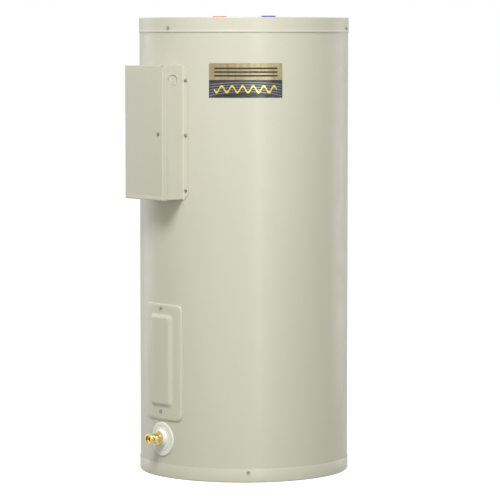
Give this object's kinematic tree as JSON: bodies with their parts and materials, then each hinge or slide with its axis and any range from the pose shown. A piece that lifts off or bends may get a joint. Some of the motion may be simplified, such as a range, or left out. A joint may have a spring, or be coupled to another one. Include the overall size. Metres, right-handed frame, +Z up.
{
  "type": "tank water heater",
  "caption": "Floor-standing electric storage water heater: cylindrical steel jacket, side control box, access panel, brass drain valve and top water ports.",
  "frame": {"origin": "centre of the base pan's underside, on the floor", "axes": "+Z up along the tank, -Y towards the control box, access panel and drain, +X to the right when the front is faced"},
  "size_m": [0.636, 0.6176, 1.202],
  "materials": {
    "cream_enamel": "satin",
    "cream_plastic": "satin",
    "white_plastic": "satin",
    "red_plastic": "satin",
    "blue_plastic": "satin",
    "badge_foil": "satin",
    "zinc_steel": "satin",
    "tank_steel": "satin",
    "spud_steel": "matte",
    "foam": "matte",
    "glass_wool": "matte",
    "dip_plastic": "matte",
    "magnesium": "matte",
    "sheath_steel": "satin",
    "gasket_rubber": "matte",
    "control_plastic": "satin",
    "dial_plastic": "satin",
    "button_plastic": "gloss",
    "block_plastic": "satin",
    "terminal_brass": "satin",
    "ground_green": "satin",
    "wire_black": "satin",
    "wire_red": "satin",
    "wire_yellow": "satin",
    "wire_blue": "satin",
    "valve_brass": "polished",
    "seat_ptfe": "satin",
    "ball_chrome": "polished",
    "spring_steel": "polished"
  },
  "bodies": {
    "heater": {"jacket": "cream_enamel", "top_pan": "cream_enamel", "base_pan": "cream_enamel", "top_pan_screws": "zinc_steel", "base_pan_screws": "zinc_steel", "front_badge": "badge_foil", "foam_insulation": "foam", "bottom_insulation": "foam", "tank_shell": "tank_steel", "tank_top_head": "tank_steel", "tank_bottom_head": "tank_steel", "top_spuds": "spud_steel", "side_spuds": "spud_steel", "dip_tube": "dip_plastic", "anode_rod": "magnesium", "anode_plug": "spud_steel", "anode_cap": "cream_plastic", "hot_port_ring": "red_plastic", "cold_port_ring": "blue_plastic", "upper_element_head": "zinc_steel", "lower_element_head": "zinc_steel", "upper_element_sheath": "sheath_steel", "lower_element_sheath": "sheath_steel", "element_gaskets": "gasket_rubber", "upper_thermostat": "control_plastic", "lower_thermostat": "control_plastic", "high_limit": "control_plastic", "thermostat_brackets": "zinc_steel", "terminal_block": "block_plastic", "terminal_screws": "terminal_brass", "ground_screw": "ground_green", "wire_black": "wire_black", "wire_red": "wire_red", "wire_yellow": "wire_yellow", "wire_blue": "wire_blue", "control_box": "cream_enamel", "cover_hinge_pins": "zinc_steel", "box_flange_screws": "zinc_steel", "conduit_knockout": "cream_enamel", "drain_bezel": "white_plastic", "drain_body": "valve_brass", "drain_seats": "seat_ptfe", "drain_bonnet": "valve_brass", "relief_body": "valve_brass", "relief_probe": "valve_brass", "relief_spring": "spring_steel", "relief_lever_pin": "spring_steel"},
    "cover": {"box_cover": "cream_enamel", "cover_screw": "zinc_steel"},
    "upper_dial_body": {"upper_dial": "dial_plastic"},
    "lower_dial_body": {"lower_dial": "dial_plastic"},
    "reset_button_body": {"reset_button": "button_plastic"},
    "panel": {"access_panel": "cream_enamel", "panel_screws": "zinc_steel", "panel_insulation": "glass_wool"},
    "drain_core": {"drain_stem": "valve_brass", "drain_ball": "ball_chrome"},
    "relief_plunger": {"relief_stem": "valve_brass"},
    "relief_handle": {"relief_lever": "spring_steel"}
  },
  "joints": [
    {"name": "cover_hinge", "type": "hinge", "parent": "heater", "child": "cover", "pos_m": [-0.081, -0.3165, 0.899], "axis": [0, 0, -1], "range_deg": [0, 110]},
    {"name": "panel_pull", "type": "slide", "parent": "heater", "child": "panel", "axis": [0, -1, 0], "range_m": [0, 0.12]},
    {"name": "upper_dial_turn", "type": "hinge", "parent": "heater", "child": "upper_dial_body", "pos_m": [0, -0.261, 0.894], "axis": [0, -1, 0], "range_deg": [-120, 120]},
    {"name": "lower_dial_turn", "type": "hinge", "parent": "heater", "child": "lower_dial_body", "pos_m": [0, -0.261, 0.317], "axis": [0, -1, 0], "range_deg": [-120, 120]},
    {"name": "reset_press", "type": "slide", "parent": "heater", "child": "reset_button_body", "axis": [0, 1, 0], "range_m": [0, 0.002], "stiffness_N_per_m": 1500},
    {"name": "drain_turn", "type": "hinge", "parent": "heater", "child": "drain_core", "pos_m": [0.01, -0.3028, 0.1035], "axis": [1, 0, 0], "range_deg": [0, 90]},
    {"name": "relief_lever_lift", "type": "hinge", "parent": "heater", "child": "relief_handle", "pos_m": [-0.346, 0, 1.05], "axis": [0, -1, 0], "range_deg": [0, 60], "stiffness_Nm_per_rad": 0.6, "springref_deg": -20.05},
    {"name": "relief_stem_lift", "type": "slide", "parent": "heater", "child": "relief_plunger", "axis": [-1, 0, 0], "range_m": [0, 0.0031]}
  ],
  "couplings": [
    {"joint": "relief_stem_lift", "follows": "relief_lever_lift", "m_per_rad": 0.0028}
  ]
}
